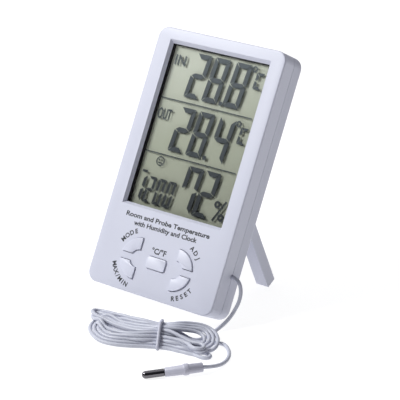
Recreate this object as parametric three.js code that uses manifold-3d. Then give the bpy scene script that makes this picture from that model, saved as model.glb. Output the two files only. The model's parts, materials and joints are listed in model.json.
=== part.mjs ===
// Indoor/outdoor maximum-minimum thermometer with a wired probe, leaning back on its fold-out stand.
// Millimetres. The case is drawn upright: X to the right, Y from the front face to the back, Z up.
// It is then leaned back until its rear bottom edge and the stand's feet rest on z = 0.
import * as THREE from 'three';
import { ConvexGeometry } from 'three/addons/geometries/ConvexGeometry.js';
import { mergeVertices } from 'three/addons/utils/BufferGeometryUtils.js';
import Module from 'manifold-3d';

const wasm = await Module();
wasm.setup();

// ---------------------------------------------------------------- driving dimensions
const GAP = 0.3; // clearance between neighbouring pieces
const WIDTH = 89;
const HEIGHT = 154;
const DEPTH = 20;
const CORNER = 6.5; // radius of the case's outline
const FRONT_EDGE = 0.8; // rounding of the front edge
const BACK_EDGE = 2; // rounding of the back edge
const WALL = 2;
const FACE = 2.4; // thickness of the front face
const PART_Y = 10.4; // the plane where the two shells meet
const SEAM = 0.2;

// display window: the opening at the front face, and its smaller inner end
const WINDOW = { half: 35.2, low: 48.5, high: 147.3 };
const WINDOW_IN = { half: 33.9, low: 50, high: 145.3 };

// display stack, front to back
const LENS = { half: 36.2, low: 47.2, high: 148.2, y0: 2.7, y1: 3.3 };
const FRAME = { half: 36.4, low: 42.4, high: 149, y0: 3.6, y1: 6 };
const CELL = { half: 33.5, low: 44.9, high: 144.9, y0: 3.6, y1: 4.3 };
const REFLECTOR = { half: 33.5, low: 49, high: 144.9, y0: 5.1, y1: 5.4 };

// keys: four quarter-ring keys around two centres, and a bar key between them
const KEY_Z = 19.9;
const RING_X = 13;
const RING_IN = 5.3;
const RING_OUT = 12;
const RING_SLOT = 2.2; // half of the bridge between an upper and a lower key
const BAR_KEY = { half: 6.6, tall: 3.45, corner: 1.3 };
const KEY_PROUD = 1;
const KEY_FLANGE = 0.8; // how far the retaining flange stands out round a key
const KEY_STEM = 2;
const KEY_TRAVEL = 0.7;

// circuit board and the rubber mat in front of it
const BOARD = { half: 38, low: 10, high: 52, y0: 9, y1: 10.2 };
const MAT = { half: 27, low: 9.6, high: 31.5, y0: 7.7, y1: 8.7 };

// fold-out stand: two legs on a round hinge bar
const STAND = { outer: 36.7, leg: 8.3, thick: 7.2, length: 62.2, toe: 0.6, hingeZ: 64.15, open: 54.2 };
const PIN_R = 1.5;
const PIN_END = 39.2;

// battery compartment
const CELL_R = 5.25;
const BATTERY = { length: 44.5, z: 79.2, y: 13.15 };
const DOOR = { half: 28.3, low: 71.7, high: 86.7, thick: 1.4 };
const BAY_WALL = 2;
const DOOR_SEAT = { margin: 1.5, deep: 3.2 };
const CONTACT = { half: 4, thick: 0.4 };

// screws that hold the shells together
const SCREWS = [[-39.6, 76], [39.6, 76], [-39.6, 143], [39.6, 143], [0, 6]];
const BOSS_R = 2.85;
const SCREW = { headR: 2.1, sunk: 1.7, headThick: 1.4, shankR: 1.1, shankEnd: 5.4, cross: 1.2, crossWide: 0.5 };

// openings in the back
const KEYHOLE = { z: 133, headR: 4.2, slotHalf: 2, slotLong: 7 };
const VENTS = { rows: 6, low: 18, pitch: 4, half: 14, tall: 1.6 };
const SOUND = { z: 112, ring: 4, r: 0.8, around: 6 };
const BUZZER = { r: 8, thick: 0.6, back: 0.9 };

// probe and its cord
const CORD_D = 2.2;
const EXIT_Z = 25.5;
const PROBE = { tipR: 2.1, tip: 12.2, sleeve: 20.7, sleeveR: 2.5, ringR: 3.2 };
const HANK_TALL = 11.4;
const TIE = { x: 29.5, y: -70.7, turn: 120, half: 10.6, tall: 12.4, wide: 2, thick: 1.1 };

// ---------------------------------------------------------------- finishes
const finish = (color, roughness, metalness = 0) =>
  new THREE.MeshStandardMaterial({ color, roughness, metalness });
const WHITE = finish(0xdcdfec, 0.5);
const GREY_WHITE = finish(0xd2d5e2, 0.5);
const BLACK = finish(0x17181c, 0.6);
const CLEAR = finish(0xe9f0ee, 0.1);
const GLASS = finish(0xc9d2c4, 0.1);
const LCD_BACK = finish(0xacb29a, 0.7);
const RUBBER = finish(0x9a9ca3, 0.8);
const LAMINATE = finish(0x2f6b45, 0.6);
const METAL = finish(0xc8cacd, 0.3, 1);
const STEEL = finish(0xdadde0, 0.15, 1);
const BRASS = finish(0xc9a860, 0.35, 1);
const CORD_SKIN = finish(0xd3d6e2, 0.5);
const CELL_WRAP = finish(0x3a6fa8, 0.4);
const SENSOR = finish(0xeceff2, 0.5);

// ---------------------------------------------------------------- tools
function toSolid(geometry) {
  const bare = geometry.index ? geometry.toNonIndexed() : geometry.clone();
  bare.deleteAttribute('normal');
  bare.deleteAttribute('uv');
  const merged = mergeVertices(bare, 1e-4);
  const mesh = new wasm.Mesh({
    numProp: 3,
    vertProperties: new Float32Array(merged.attributes.position.array),
    triVerts: new Uint32Array(merged.index.array),
  });
  return new wasm.Manifold(mesh);
}

function toGeometry(solid) {
  const { vertProperties, triVerts } = solid.getMesh();
  const geometry = new THREE.BufferGeometry();
  geometry.setAttribute('position', new THREE.BufferAttribute(new Float32Array(vertProperties), 3));
  geometry.setIndex(new THREE.BufferAttribute(new Uint32Array(triVerts), 1));
  geometry.computeVertexNormals();
  return geometry;
}

const join = (...solids) => solids.reduce((sum, next) => sum.add(next));

function place(parent, name, shape, material) {
  const geometry = shape.isBufferGeometry ? shape : toGeometry(shape);
  const mesh = new THREE.Mesh(geometry, material);
  mesh.name = name;
  parent.add(mesh);
  return mesh;
}

// A closed box between two corners, in the case's frame.
function block(x0, x1, y0, y1, z0, z1) {
  const box = new THREE.BoxGeometry(x1 - x0, y1 - y0, z1 - z0);
  return box.translate((x0 + x1) / 2, (y0 + y1) / 2, (z0 + z1) / 2);
}

// An outline drawn in X and Z, as a plate from depth y0 to y1.
function plate(shape, y0, y1, curveSegments = 6) {
  const geometry = new THREE.ExtrudeGeometry(shape, { depth: y1 - y0, bevelEnabled: false, curveSegments });
  return geometry.rotateX(Math.PI / 2).translate(0, y1, 0);
}

// The same, with its front or back edge rounded off.
function roundedPlate(outline, y0, y1, radius, atBack) {
  const steps = 4;
  const geometry = new THREE.ExtrudeGeometry(outline, {
    depth: y1 - y0,
    curveSegments: 8,
    bevelEnabled: true,
    bevelThickness: radius,
    bevelSize: radius,
    bevelOffset: -radius,
    bevelSegments: steps,
  });
  geometry.rotateX(Math.PI / 2).translate(0, y1, 0);
  const keep = atBack
    ? block(-WIDTH, WIDTH, y0, y1 + radius, -WIDTH, 2 * HEIGHT)
    : block(-WIDTH, WIDTH, y0 - radius, y1, -WIDTH, 2 * HEIGHT);
  return toSolid(geometry).intersect(toSolid(keep));
}

function roundedRect(x0, x1, z0, z1, r) {
  const shape = new THREE.Shape();
  shape.moveTo(x0 + r, z0);
  shape.lineTo(x1 - r, z0);
  shape.absarc(x1 - r, z0 + r, r, -Math.PI / 2, 0);
  shape.lineTo(x1, z1 - r);
  shape.absarc(x1 - r, z1 - r, r, 0, Math.PI / 2);
  shape.lineTo(x0 + r, z1);
  shape.absarc(x0 + r, z1 - r, r, Math.PI / 2, Math.PI);
  shape.lineTo(x0, z0 + r);
  shape.absarc(x0 + r, z0 + r, r, Math.PI, 1.5 * Math.PI);
  return shape;
}

const caseOutline = (inset) =>
  roundedRect(-WIDTH / 2 + inset, WIDTH / 2 - inset, inset, HEIGHT - inset, CORNER - inset);

// A rod along Y between two depths.
function rodY(x, z, r, y0, y1, sides = 20) {
  const rod = new THREE.CylinderGeometry(r, r, y1 - y0, sides);
  return rod.translate(x, (y0 + y1) / 2, z);
}

// A rod along X between two places.
function rodX(x0, x1, y, z, r, sides = 20) {
  const rod = new THREE.CylinderGeometry(r, r, x1 - x0, sides).rotateZ(Math.PI / 2);
  return rod.translate((x0 + x1) / 2, y, z);
}

// Four-sided funnel between two rectangles, for the sloping sides of the window.
function funnel(front, back, y0, y1) {
  const corners = [];
  for (const [end, y] of [[front, y0], [back, y1]]) {
    for (const x of [-end.half, end.half]) {
      corners.push(new THREE.Vector3(x, y, end.low), new THREE.Vector3(x, y, end.high));
    }
  }
  return new ConvexGeometry(corners);
}

const slab = ({ half, low, high, y0, y1 }) => block(-half, half, y0, y1, low, high);

// ---------------------------------------------------------------- keys
// Outline of a quarter-ring key in the quadrant (sx, sz) of its ring, made larger all round by grow.
function quarterKey(sx, sz, grow) {
  const rIn = RING_IN - grow;
  const rOut = RING_OUT + grow;
  const side = -grow;
  const foot = RING_SLOT - grow;
  const arc = new THREE.Shape();
  arc.absarc(0, 0, rOut, Math.asin(foot / rOut), Math.acos(side / rOut), false);
  arc.absarc(0, 0, rIn, Math.acos(side / rIn), Math.asin(foot / rIn), true);
  const points = arc.getPoints(12).map((p) => new THREE.Vector2(sx * (RING_X + p.x), KEY_Z + sz * p.y));
  if (sx * sz < 0) points.reverse();
  return new THREE.Shape(points);
}

function barKey(grow) {
  const { half, tall, corner } = BAR_KEY;
  return roundedRect(-half - grow, half + grow, KEY_Z - tall - grow, KEY_Z + tall + grow, corner + grow);
}

const ringMiddle = (RING_IN + RING_OUT) / 2 / Math.SQRT2;
const KEYS = [
  { name: 'key_mode', outline: (g) => quarterKey(-1, 1, g), x: -RING_X - ringMiddle, z: KEY_Z + ringMiddle },
  {
    name: 'key_max_min', outline: (g) => quarterKey(-1, -1, g), x: -RING_X - ringMiddle, z: KEY_Z - ringMiddle,
  },
  { name: 'key_unit', outline: barKey, x: 0, z: KEY_Z },
  { name: 'key_adjust', outline: (g) => quarterKey(1, 1, g), x: RING_X + ringMiddle, z: KEY_Z + ringMiddle },
  { name: 'key_reset', outline: (g) => quarterKey(1, -1, g), x: RING_X + ringMiddle, z: KEY_Z - ringMiddle },
];
const FLANGE_Y = FACE + GAP;
const STEM_END = 5.3;
const DOME_TOP = STEM_END + KEY_TRAVEL + 0.2;

function keyCap({ outline, x, z }) {
  const capEdge = 0.25;
  const cap = new THREE.ExtrudeGeometry(outline(-capEdge), {
    depth: FLANGE_Y + KEY_PROUD - capEdge,
    bevelThickness: capEdge,
    bevelSize: capEdge,
    bevelSegments: 2,
    curveSegments: 6,
  });
  cap.rotateX(Math.PI / 2).translate(0, FLANGE_Y, 0);
  const flange = plate(outline(KEY_FLANGE), FLANGE_Y, FLANGE_Y + 0.8);
  const stem = rodY(x, z, KEY_STEM, FLANGE_Y + 0.5, STEM_END, 16);
  return join(toSolid(cap), toSolid(flange), toSolid(stem));
}

// ---------------------------------------------------------------- shells
const cordHole = () => toSolid(rodX(WIDTH / 2 - WALL - 1, WIDTH / 2 + 1, PART_Y, EXIT_Z, CORD_D / 2 + GAP, 16));

function frontCase() {
  let shell = roundedPlate(caseOutline(0), FRONT_EDGE, PART_Y - SEAM / 2, FRONT_EDGE, false);
  shell = shell.subtract(toSolid(plate(caseOutline(WALL), FACE, PART_Y + 1)));
  for (const [x, z] of SCREWS) {
    shell = shell.add(toSolid(rodY(x, z, BOSS_R, FACE - 0.5, PART_Y - GAP)));
    shell = shell.subtract(toSolid(rodY(x, z, 1.4, FACE + 1, PART_Y, 12)));
  }
  shell = shell.subtract(toSolid(funnel(WINDOW, WINDOW_IN, -0.001, FACE + 0.001)));
  for (const key of KEYS) {
    shell = shell.subtract(toSolid(plate(key.outline(GAP), -1, FACE + 1)));
  }
  return shell.subtract(cordHole());
}

const STAND_AXIS_Y = DEPTH - STAND.thick / 2;
const STAND_ROOM = 0.4;
const POCKET_Y = DEPTH - STAND.thick - STAND_ROOM;
const POCKET_TOP = STAND.hingeZ + STAND.thick / 2 + 0.95;

// The recess that the folded stand lies in, or with grow its surrounding wall.
function standPocket(grow, y0, y1) {
  const pinWall = grow ? PIN_END - STAND.outer + grow - 0.3 : 0;
  const inner = STAND.outer - STAND.leg - STAND_ROOM - grow;
  const outer = STAND.outer + STAND_ROOM + pinWall;
  const low = STAND.hingeZ - STAND.length - STAND_ROOM - grow;
  const barLow = STAND.hingeZ - STAND.thick / 2 - STAND_ROOM - grow;
  const top = POCKET_TOP + grow;
  const left = toSolid(block(-outer, -inner, y0, y1, low, top));
  const right = toSolid(block(inner, outer, y0, y1, low, top));
  const bar = toSolid(block(-outer, outer, y0, y1, barLow, top));
  return join(left, right, bar);
}

const BAY = {
  half: 26, low: BATTERY.z - CELL_R - 0.4, high: BATTERY.z + CELL_R + 0.4, y0: BATTERY.y - CELL_R - GAP,
};

// Cutters for the back wall reach from inside the case to outside it.
const CUT_FROM = DEPTH - WALL - 1;
const CUT_TO = DEPTH + 1;

// A round hole for the screw's head, with a slot above it for the shank.
function keyhole() {
  const { z, headR, slotHalf, slotLong } = KEYHOLE;
  const head = toSolid(rodY(0, z, headR, CUT_FROM, CUT_TO, 24));
  const slot = toSolid(block(-slotHalf, slotHalf, CUT_FROM, CUT_TO, z, z + slotLong));
  return join(head, slot, toSolid(rodY(0, z + slotLong, slotHalf, CUT_FROM, CUT_TO, 16)));
}

function vents() {
  const { rows, low, pitch, half, tall } = VENTS;
  const slots = [];
  for (let row = 0; row < rows; row += 1) {
    const z = low + row * pitch;
    slots.push(toSolid(plate(roundedRect(-half, half, z, z + tall, tall / 2 - 0.01), CUT_FROM, CUT_TO, 3)));
  }
  return join(...slots);
}

// One hole in the middle of a ring of holes, over the buzzer.
function soundHoles() {
  const { z, ring, r, around } = SOUND;
  const holes = [toSolid(rodY(0, z, r, CUT_FROM, CUT_TO, 10))];
  for (let i = 0; i < around; i += 1) {
    const a = (i * 2 * Math.PI) / around;
    holes.push(toSolid(rodY(ring * Math.cos(a), z + ring * Math.sin(a), r, CUT_FROM, CUT_TO, 10)));
  }
  return join(...holes);
}

function rearCase() {
  const outside = roundedPlate(caseOutline(0), PART_Y + SEAM / 2, DEPTH - BACK_EDGE, BACK_EDGE, true);
  let shell = outside.subtract(toSolid(plate(caseOutline(WALL), PART_Y - 1, DEPTH - WALL)));
  const innerWall = 1.2;
  shell = shell.add(standPocket(innerWall, POCKET_Y - innerWall, DEPTH - 1).intersect(outside));
  const bayHalf = BAY.half + BAY_WALL;
  const bayWall = block(-bayHalf, bayHalf, BAY.y0 - 1, DEPTH - 1, BAY.low - 1.6, BAY.high + BAY_WALL);
  const { margin, deep } = DOOR_SEAT;
  const seatHalf = DOOR.half + margin;
  const doorSeat = block(-seatHalf, seatHalf, DEPTH - deep, DEPTH - 1, DOOR.low - margin, DOOR.high + margin);
  shell = join(shell, toSolid(bayWall), toSolid(doorSeat));
  for (const [x, z] of SCREWS) {
    shell = shell.add(toSolid(rodY(x, z, BOSS_R, PART_Y + SEAM / 2, DEPTH - 1)));
    shell = shell.subtract(toSolid(rodY(x, z, 1.5, PART_Y - 1, DEPTH + 1, 12)));
    shell = shell.subtract(toSolid(rodY(x, z, 2.45, DEPTH - 3.4, DEPTH + 1)));
  }
  shell = shell.subtract(standPocket(0, POCKET_Y, DEPTH + 1));
  for (const side of [-1, 1]) {
    const bore = rodX(STAND.outer - 1, PIN_END + GAP, STAND_AXIS_Y, STAND.hingeZ, PIN_R + 0.12, 24);
    shell = shell.subtract(toSolid(side > 0 ? bore : bore.rotateZ(Math.PI).translate(0, 2 * STAND_AXIS_Y, 0)));
  }
  shell = shell.subtract(toSolid(block(-BAY.half, BAY.half, BAY.y0, DEPTH + 1, BAY.low, BAY.high)));
  const seatY = DEPTH - DOOR.thick - GAP;
  const recess = block(-DOOR.half - GAP, DOOR.half + GAP, seatY, DEPTH + 1, DOOR.low - GAP, DOOR.high + GAP);
  const thumb = rodY(0, DOOR.high + 1, 6, DEPTH - 0.9, DEPTH + 1, 24);
  shell = shell.subtract(toSolid(recess)).subtract(toSolid(thumb));
  return shell.subtract(keyhole()).subtract(vents()).subtract(soundHoles()).subtract(cordHole());
}

function batteryDoor() {
  const outline = roundedRect(-DOOR.half, DOOR.half, DOOR.low, DOOR.high, 0.8);
  let door = toSolid(plate(outline, DEPTH - DOOR.thick, DEPTH, 3));
  const grooves = 3;
  for (let i = 0; i < grooves; i += 1) {
    const z = DOOR.high - 3.4 - i * 1.8;
    door = door.subtract(toSolid(block(-7, 7, DEPTH - 0.4, DEPTH + 1, z, z + 0.8)));
  }
  return door;
}

function caseScrew([x, z]) {
  const { headR, sunk, headThick, shankR, shankEnd, cross: long, crossWide } = SCREW;
  const top = DEPTH - sunk;
  const half = crossWide / 2;
  const head = toSolid(rodY(x, z, headR, top - headThick, top, 18));
  const shank = toSolid(rodY(x, z, shankR, shankEnd, top - headThick / 2, 12));
  const cross = join(
    toSolid(block(x - long, x + long, top - headThick / 2, DEPTH, z - half, z + half)),
    toSolid(block(x - half, x + half, top - headThick / 2, DEPTH, z - long, z + long)),
  );
  return join(head, shank).subtract(cross);
}

// ---------------------------------------------------------------- display and electronics
function lcdFrame() {
  const ring = toSolid(slab(FRAME));
  const hole = { ...WINDOW_IN, low: FRAME.low + 2, y0: FRAME.y0 - 1, y1: FRAME.y1 + 1 };
  return ring.subtract(toSolid(slab(hole)));
}

function keyMat() {
  const sheet = toSolid(slab(MAT));
  const domes = KEYS.map(({ x, z }) => {
    const profile = [[0, MAT.y0 + 0.4], [3.4, MAT.y0 + 0.4], [2.2, DOME_TOP], [0, DOME_TOP]];
    const points = profile.map(([r, y]) => new THREE.Vector2(r, -y));
    return toSolid(new THREE.LatheGeometry(points, 20).rotateX(Math.PI).translate(x, 0, z));
  });
  return join(sheet, ...domes);
}

function circuitBoard() {
  let board = toSolid(slab(BOARD));
  const notch = rodY(0, BOARD.low, 3.2, BOARD.y0 - 1, BOARD.y1 + 1);
  board = board.subtract(toSolid(notch));
  for (const x of [-35, 35]) {
    board = board.subtract(toSolid(rodY(x, BOARD.low + 4, 1.2, BOARD.y0 - 1, BOARD.y1 + 1, 12)));
  }
  return board;
}

const chipCover = () => {
  const dome = [[0, 0], [5, 0], [4.6, 0.7], [3, 1.2], [0, 1.4]].map(([r, y]) => new THREE.Vector2(r, y));
  return new THREE.LatheGeometry(dome, 24).translate(8, BOARD.y1 + 0.1, 40);
};

const crystalCan = () => rodX(-16, -10, BOARD.y1 + 1.2, 44, 1, 12);

const roomThermistor = () => {
  const bead = new THREE.SphereGeometry(1.3, 14, 10);
  return bead.translate(-18, BOARD.y1 + 1.5, 30);
};

function humiditySensor() {
  let body = toSolid(block(-6, 2, BOARD.y1 + 0.1, BOARD.y1 + 3.1, 26, 32));
  for (let row = 0; row < 3; row += 1) {
    const z = 27.2 + row * 1.5;
    body = body.subtract(toSolid(block(-5, 1, BOARD.y1 + 2.2, BOARD.y1 + 4, z, z + 0.7)));
  }
  return body;
}

function buzzer() {
  const y1 = DEPTH - WALL - BUZZER.back;
  return rodY(0, SOUND.z, BUZZER.r, y1 - BUZZER.thick, y1, 32);
}

// AAA cell, positive end to the right.
function batteryCell() {
  const half = BATTERY.length / 2;
  const profile = [
    [0, -half], [CELL_R - 0.4, -half], [CELL_R, -half + 0.4], [CELL_R, half - 1.4],
    [CELL_R - 0.4, half - 1], [1.9, half - 1], [1.9, half], [0, half],
  ];
  const points = profile.map(([r, along]) => new THREE.Vector2(r, along));
  const cell = new THREE.LatheGeometry(points, 32).rotateZ(-Math.PI / 2);
  return cell.translate(0, BATTERY.y, BATTERY.z);
}

class CoilCurve extends THREE.Curve {
  constructor(x, turns, length, r0, r1) {
    super();
    Object.assign(this, { x, turns, length, r0, r1 });
  }

  getPoint(t, target = new THREE.Vector3()) {
    const a = t * this.turns * 2 * Math.PI;
    const r = this.r0 + (this.r1 - this.r0) * t;
    return target.set(this.x + t * this.length, BATTERY.y + r * Math.cos(a), BATTERY.z + r * Math.sin(a));
  }
}

function disc(r, sides) {
  const shape = new THREE.Shape();
  const points = [];
  for (let i = 0; i < sides; i += 1) {
    const a = (i * 2 * Math.PI) / sides;
    points.push(new THREE.Vector2(r * Math.cos(a), r * Math.sin(a)));
  }
  shape.setFromPoints(points);
  return shape;
}

function contactPlate(x) {
  const { half, thick } = CONTACT;
  return block(x, x + thick, BATTERY.y - half, BATTERY.y + half, BATTERY.z - half, BATTERY.z + half);
}

function springContact() {
  const base = toSolid(contactPlate(-BAY.half + GAP));
  const gapX = -BATTERY.length / 2 - GAP;
  const start = -BAY.half + 0.9;
  const coil = new THREE.ExtrudeGeometry(disc(0.3, 6), {
    steps: 48,
    extrudePath: new CoilCurve(start, 3, gapX - 0.4 - start, 3.4, 1.9),
  });
  return join(base, toSolid(coil));
}

const plateContact = () => contactPlate(BAY.half - GAP - CONTACT.thick);

// Crimped ring on the cord just inside the side wall, which keeps the cord from pulling out.
function cordStop() {
  const x = WIDTH / 2 - WALL;
  const ring = toSolid(rodX(x - 1.7, x - GAP, PART_Y, EXIT_Z, CORD_D / 2 + 0.8, 16));
  return ring.subtract(toSolid(rodX(x - 3, x + 1, PART_Y, EXIT_Z, CORD_D / 2 + GAP, 16)));
}

// ---------------------------------------------------------------- stand
// Drawn folded, with the hinge axis at its origin; the group that holds it opens it.
function standSolid() {
  const r = STAND.thick / 2;
  const end = -STAND.length;
  const round = STAND.toe;
  const side = new THREE.Shape();
  side.absarc(0, 0, r, 0, Math.PI);
  side.absarc(-r + round, end + round, round, Math.PI, 1.5 * Math.PI);
  side.absarc(r - round, end + round, round, 1.5 * Math.PI, 2 * Math.PI);
  const bar = new THREE.Shape();
  bar.absarc(0, 0, r, 0, 2 * Math.PI);
  const along = (shape, x0, x1, segments) => {
    const options = { depth: x1 - x0, bevelEnabled: false, curveSegments: segments };
    const geometry = new THREE.ExtrudeGeometry(shape, options);
    // shape x becomes Y, shape y becomes Z and the extrusion runs along X
    geometry.rotateX(Math.PI / 2).rotateZ(Math.PI / 2);
    return toSolid(geometry.translate(x0, 0, 0));
  };
  const inner = STAND.outer - STAND.leg;
  const heel = block(-inner, inner, -0.9, 0.5, r - 0.6, r + 0.5);
  return join(
    along(side, -STAND.outer, -inner, 14),
    along(side, inner, STAND.outer, 14),
    along(bar, -STAND.outer + 1, STAND.outer - 1, 14),
    toSolid(heel),
    toSolid(rodX(-PIN_END, PIN_END, 0, 0, PIN_R, 24)),
  );
}

// ---------------------------------------------------------------- assembly
// Lean of the case: the rounded rear bottom edge and the rounded inner toe of the open legs
// both touch the table.
const openAngle = THREE.MathUtils.degToRad(STAND.open);
const toe = new THREE.Vector2(STAND.toe - STAND.thick / 2, STAND.toe - STAND.length);
toe.rotateAround(new THREE.Vector2(), openAngle).add(new THREE.Vector2(STAND_AXIS_Y, STAND.hingeZ));
const heelEdge = new THREE.Vector2(DEPTH - BACK_EDGE, BACK_EDGE);
const reach = toe.clone().sub(heelEdge);
const lean = reach.angle() - Math.asin((STAND.toe - BACK_EDGE) / reach.length());

const thermometer = new THREE.Group();
const upright = new THREE.Group();
upright.rotation.x = -lean;
thermometer.add(upright);

place(upright, 'front_case', frontCase(), WHITE);
place(upright, 'rear_case', rearCase(), GREY_WHITE);
place(upright, 'display_window', slab(LENS), CLEAR);
place(upright, 'lcd_frame', lcdFrame(), BLACK);
place(upright, 'lcd_glass', slab(CELL), GLASS);
place(upright, 'lcd_reflector', slab(REFLECTOR), LCD_BACK);
place(upright, 'contact_strip', block(-32, 32, CELL.y1 + 0.2, BOARD.y0 - 0.2, 45.4, 47.9), RUBBER);
for (const key of KEYS) place(upright, key.name, keyCap(key), WHITE);
place(upright, 'key_mat', keyMat(), RUBBER);
place(upright, 'circuit_board', circuitBoard(), LAMINATE);
place(upright, 'chip_cover', chipCover(), BLACK);
place(upright, 'crystal_can', crystalCan(), METAL);
place(upright, 'room_thermistor', roomThermistor(), BLACK);
place(upright, 'humidity_sensor', humiditySensor(), SENSOR);
place(upright, 'buzzer', buzzer(), BRASS);
place(upright, 'battery_cell', batteryCell(), CELL_WRAP);
place(upright, 'battery_spring', springContact(), METAL);
place(upright, 'battery_plate', plateContact(), METAL);
place(upright, 'battery_door', batteryDoor(), GREY_WHITE);
place(upright, 'cord_stop', cordStop(), METAL);
SCREWS.forEach((spot, i) => place(upright, `case_screw_${i + 1}`, caseScrew(spot), METAL));

const hinge = new THREE.Group();
hinge.position.set(0, STAND_AXIS_Y, STAND.hingeZ);
hinge.rotation.x = openAngle;
upright.add(hinge);
place(hinge, 'stand', standSolid(), GREY_WHITE);

// Stand the object on z = 0, with the origin under the middle of its box.
upright.updateMatrixWorld(true);
const reachBox = new THREE.Box3().setFromObject(upright, true);
const middle = reachBox.getCenter(new THREE.Vector3());
upright.position.set(0, -middle.y, -reachBox.min.z);

// ---------------------------------------------------------------- cord, tie and probe, on the table
// The lead leaves the right side of the case and drops to the hank.
const LEAD = [
  [41.4, -24, 26.3], [44.5, -24, 26.3], [47.2, -24.1, 25.9], [49.7, -24.5, 24.4], [51.4, -25.3, 21.6],
  [52.2, -26.4, 18.2], [52.2, -28.4, 14.2], [51.4, -30.9, 10.3], [50.4, -33.9, 6.8], [49, -36.9, 4],
  [47.9, -40, 2.3], [47.4, -44, 1.4], [47.6, -48.6, 1.1],
];
// The lead leaves the hank on the table and turns back to the probe.
const PROBE_LEAD = [
  [58.8, -53.7, 1.1], [61.4, -54, 1.1], [66, -57.2, 1.1], [70.1, -62, 1.1], [72.6, -67.4, 1.1],
  [73.5, -73.2, 1.3], [72.9, -79.3, 2.3], [70.5, -85.5, 3.6],
];
// Outline of the hank: wide at both ends and drawn in where the tie goes round it.
const HANK = [
  [-23.4, -68.6], [-17, -80.6], [-5, -89.4], [9, -92.4], [21, -88.2], [32, -82], [45, -78.6], [58, -76.4],
  [65.2, -70.6], [62.4, -60.4], [55.8, -52.8], [46, -50.8], [36, -54.4], [25, -60.4], [8, -63], [-12, -62.4],
];
const PROBE_END = new THREE.Vector3(70.2, -86, 3.7);
const PROBE_TIP = new THREE.Vector3(48.2, -110.1, PROBE.tipR);

function cordTube(points, steps) {
  const path = new THREE.CatmullRomCurve3(points.map((p) => new THREE.Vector3(...p)), false, 'centripetal');
  return new THREE.ExtrudeGeometry(disc(CORD_D / 2, 8), { steps, extrudePath: path });
}

// A box across the hank's waist, smaller than the tie's outside by inset.
function waistBox(inset, width) {
  const tall = TIE.tall - 2 * inset;
  const box = new THREE.BoxGeometry(2 * (TIE.half - inset), width, tall).translate(0, 0, tall / 2 + inset);
  return toSolid(box.rotateZ(THREE.MathUtils.degToRad(TIE.turn)).translate(TIE.x, TIE.y, 0));
}

const tieRing = () => waistBox(0, TIE.wide).subtract(waistBox(TIE.thick, TIE.wide + 1));

// The hank, with its waist drawn in to leave room for the tie.
function hankSolid() {
  const outline = new THREE.Shape();
  const points = HANK.map(([x, y]) => new THREE.Vector2(x, y));
  outline.moveTo(points[0].x, points[0].y);
  outline.splineThru([...points.slice(1), points[0]]);
  const body = new THREE.ExtrudeGeometry(outline, { depth: HANK_TALL, bevelEnabled: false, curveSegments: 4 });
  const slot = TIE.wide + 2 * GAP;
  const outside = waistBox(-TIE.half, slot);
  return toSolid(body).subtract(outside.subtract(waistBox(TIE.thick + GAP, slot + 1)));
}

place(thermometer, 'cord_lead', cordTube(LEAD, 18), CORD_SKIN);
place(thermometer, 'cord_hank', hankSolid(), CORD_SKIN);
place(thermometer, 'cord_tie', tieRing(), WHITE);
place(thermometer, 'cord_probe_lead', cordTube(PROBE_LEAD, 12), CORD_SKIN);

// Revolved pieces of the probe, drawn along +Y from the cord's end to the tip.
function probePiece(profile) {
  const turned = new THREE.LatheGeometry(profile.map(([r, along]) => new THREE.Vector2(r, along)), 24);
  const direction = PROBE_TIP.clone().sub(PROBE_END).normalize();
  const turn = new THREE.Quaternion().setFromUnitVectors(new THREE.Vector3(0, 1, 0), direction);
  return turned.applyQuaternion(turn).translate(PROBE_END.x, PROBE_END.y, PROBE_END.z);
}

function probeSleeve() {
  const { sleeve, sleeveR, ringR } = PROBE;
  const ring = 7.8;
  const ringWide = 2.8;
  const socket = 4.5;
  return probePiece([
    [0, 0], [sleeveR - 0.1, 0], [sleeveR + 0.1, 0.3], [sleeveR + 0.2, ring - 0.4], [ringR - 0.2, ring],
    [ringR, ring + 0.5], [ringR, ring + ringWide - 0.5], [ringR - 0.2, ring + ringWide],
    [sleeveR + 0.2, ring + ringWide + 0.4], [sleeveR, sleeve - 0.3], [sleeveR - 0.3, sleeve],
    [1.9, sleeve], [1.9, sleeve - socket], [0, sleeve - socket],
  ]);
}

function probeTip() {
  const { sleeve, tip, tipR } = PROBE;
  const end = sleeve + tip;
  const spigot = sleeve - 4.2;
  const profile = [[0, spigot], [1.6, spigot], [1.6, sleeve + GAP], [tipR, sleeve + GAP]];
  const steps = 6;
  for (let i = 0; i <= steps; i += 1) {
    const a = (i * Math.PI) / 2 / steps;
    profile.push([i === steps ? 0 : tipR * Math.cos(a), end - tipR + tipR * Math.sin(a)]);
  }
  return probePiece(profile);
}

place(thermometer, 'probe_sleeve', probeSleeve(), WHITE);
place(thermometer, 'probe_tip', probeTip(), STEEL);

export default thermometer;
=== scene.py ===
import json
import math

import bmesh
import bpy
import numpy as np
from mathutils import Matrix, Vector


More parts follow.
